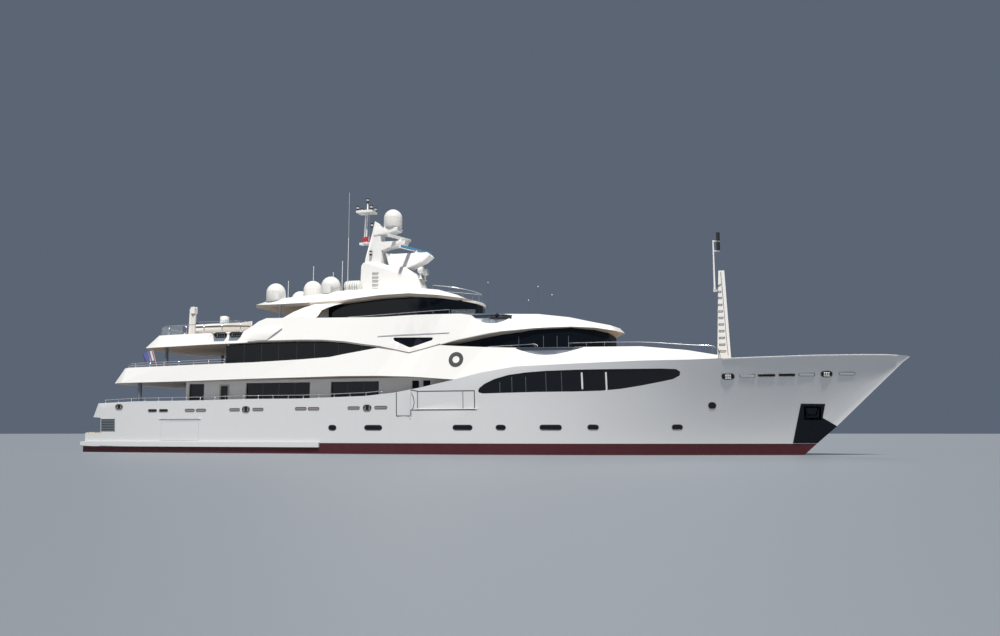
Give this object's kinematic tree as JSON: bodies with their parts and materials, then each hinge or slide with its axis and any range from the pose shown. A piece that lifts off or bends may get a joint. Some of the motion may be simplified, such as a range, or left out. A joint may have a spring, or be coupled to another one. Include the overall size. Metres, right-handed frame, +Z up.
{
  "type": "motor yacht, 1:2 scale model",
  "caption": "Three-deck displacement motor yacht afloat, with a flared bow, bulwarked decks, glazed deckhouses, hardtop, radar mast, opening side doors, propellers and rudders.",
  "frame": {"origin": "amidships on the centreline, in the plane of the waterline", "axes": "+X towards the bow, +Y to port, +Z up"},
  "size_m": [30.05, 5.2356, 11.35],
  "materials": {
    "white_paint": "gloss",
    "red_paint": "matt antifouling",
    "dark_glass": "tinted, polished",
    "teak": "bare, caulked planks",
    "stainless_steel": "polished",
    "bronze": "satin"
  },
  "bodies": {
    "hull": {"hull_topsides": "white_paint", "upper_deck_band": "white_paint", "bridge_deck_body": "white_paint", "hardtop": "white_paint", "main_deckhouse": "white_paint", "upper_deckhouse": "white_paint", "sun_deckhouse": "white_paint", "mast": "white_paint", "signal_mast": "white_paint", "mast_radome": "white_paint", "satellite_dome_1": "white_paint", "satellite_dome_2": "white_paint", "satellite_dome_3": "white_paint", "satellite_dome_4": "white_paint", "satellite_dome_5": "white_paint", "foremast": "white_paint", "tender": "white_paint", "rub_rail": "white_paint", "hull_bottom": "red_paint", "hull_window_port": "dark_glass", "hull_window_starboard": "dark_glass", "main_windows_port": "dark_glass", "main_windows_starboard": "dark_glass", "upper_windows_port": "dark_glass", "upper_windows_starboard": "dark_glass", "bridge_windows": "dark_glass", "sun_deck_windows": "dark_glass", "platform_teak": "teak", "main_deck_teak": "teak", "upper_deck_teak": "teak", "sun_deck_teak": "teak", "stem_plate_port": "stainless_steel", "stem_plate_starboard": "stainless_steel", "anchor_port": "stainless_steel", "anchor_starboard": "stainless_steel", "propeller_shaft_port": "stainless_steel", "propeller_shaft_starboard": "stainless_steel"},
    "shell_door_port": {"shell_door_port": "white_paint"},
    "shell_door_starboard": {"shell_door_starboard": "white_paint"},
    "boarding_gate_port": {"boarding_gate_port": "white_paint"},
    "boarding_gate_starboard": {"boarding_gate_starboard": "white_paint"},
    "side_balcony_port": {"side_balcony_port": "white_paint"},
    "side_balcony_starboard": {"side_balcony_starboard": "white_paint"},
    "transom_door": {"transom_door": "white_paint"},
    "saloon_door_port": {"saloon_door_port": "dark_glass"},
    "saloon_door_starboard": {"saloon_door_starboard": "dark_glass"},
    "propeller_port": {"propeller_port": "bronze"},
    "propeller_starboard": {"propeller_starboard": "bronze"},
    "rudder_port": {"rudder_port": "red_paint"},
    "rudder_starboard": {"rudder_starboard": "red_paint"},
    "stabiliser_fin_port": {"stabiliser_fin_port": "red_paint"},
    "stabiliser_fin_starboard": {"stabiliser_fin_starboard": "red_paint"},
    "radar_low": {"radar_low": "white_paint"},
    "radar_high": {"radar_high": "white_paint"},
    "crane_post": {"crane_post": "white_paint"},
    "crane_jib": {"crane_jib": "white_paint"}
  },
  "joints": [
    {"name": "shell_door_port_hinge", "type": "hinge", "parent": "hull", "child": "shell_door_port", "pos_m": [-10.5025, 2.48846, 1.25], "axis": [0.9996, 0.0292, 0], "range_deg": [0, 100]},
    {"name": "shell_door_starboard_hinge", "type": "hinge", "parent": "hull", "child": "shell_door_starboard", "pos_m": [-10.5025, -2.48846, 1.25], "axis": [-0.9996, 0.0292, 0], "range_deg": [0, 100]},
    {"name": "boarding_gate_port_hinge", "type": "hinge", "parent": "hull", "child": "boarding_gate_port", "pos_m": [-1.39, 2.57841, 1.70863], "axis": [0, -0.0572, -0.9984], "range_deg": [0, 95]},
    {"name": "boarding_gate_starboard_hinge", "type": "hinge", "parent": "hull", "child": "boarding_gate_starboard", "pos_m": [-1.39, -2.57841, 1.70863], "axis": [0, -0.0572, 0.9984], "range_deg": [0, 95]},
    {"name": "side_balcony_port_hinge", "type": "hinge", "parent": "hull", "child": "side_balcony_port", "pos_m": [-0.0825, 2.54155, 1.54], "axis": [-0.9997, 0.0243, 0], "range_deg": [0, 90]},
    {"name": "side_balcony_starboard_hinge", "type": "hinge", "parent": "hull", "child": "side_balcony_starboard", "pos_m": [-0.0825, -2.54155, 1.54], "axis": [0.9997, 0.0243, 0], "range_deg": [0, 90]},
    {"name": "transom_door_hinge", "type": "hinge", "parent": "hull", "child": "transom_door", "pos_m": [-14.0825, 0, 0.825], "axis": [0, -1, 0], "range_deg": [0, 90]},
    {"name": "saloon_door_port_slide", "type": "slide", "parent": "hull", "child": "saloon_door_port", "axis": [0, 1, 0], "range_m": [0, 0.575]},
    {"name": "saloon_door_starboard_slide", "type": "slide", "parent": "hull", "child": "saloon_door_starboard", "axis": [0, -1, 0], "range_m": [0, 0.575]},
    {"name": "propeller_port_shaft", "type": "hinge", "parent": "hull", "child": "propeller_port", "pos_m": [-12.625, 1.15, -1.05], "axis": [-0.9974, 0, -0.0716], "continuous": true},
    {"name": "propeller_starboard_shaft", "type": "hinge", "parent": "hull", "child": "propeller_starboard", "pos_m": [-12.625, -1.15, -1.05], "axis": [-0.9974, 0, -0.0716], "continuous": true},
    {"name": "rudder_port_stock", "type": "hinge", "parent": "hull", "child": "rudder_port", "pos_m": [-13.55, 1.15, -0.51], "axis": [0, 0, 1], "range_deg": [-35, 35]},
    {"name": "rudder_starboard_stock", "type": "hinge", "parent": "hull", "child": "rudder_starboard", "pos_m": [-13.55, -1.15, -0.51], "axis": [0, 0, 1], "range_deg": [-35, 35]},
    {"name": "stabiliser_fin_port_stock", "type": "hinge", "parent": "hull", "child": "stabiliser_fin_port", "pos_m": [1, 2.14, -0.86], "axis": [0, 0.6606, -0.7507], "range_deg": [-20, 20]},
    {"name": "stabiliser_fin_starboard_stock", "type": "hinge", "parent": "hull", "child": "stabiliser_fin_starboard", "pos_m": [1, -2.14, -0.86], "axis": [0, -0.6606, -0.7507], "range_deg": [-20, 20]},
    {"name": "radar_low_bearing", "type": "hinge", "parent": "hull", "child": "radar_low", "pos_m": [-2.2, 0, 7.59], "axis": [0, 0, 1], "continuous": true},
    {"name": "radar_high_bearing", "type": "hinge", "parent": "hull", "child": "radar_high", "pos_m": [-2.875, 0, 8.1], "axis": [0, 0, 1], "continuous": true},
    {"name": "crane_slewing_ring", "type": "hinge", "parent": "hull", "child": "crane_post", "pos_m": [-11.38, -0.725, 4.205], "axis": [0, 0, 1], "range_deg": [-120, 120]},
    {"name": "crane_jib_pin", "type": "hinge", "parent": "crane_post", "child": "crane_jib", "pos_m": [-11.235, -0.725, 5.625], "axis": [0, -1, 0], "range_deg": [0, 95]}
  ]
}
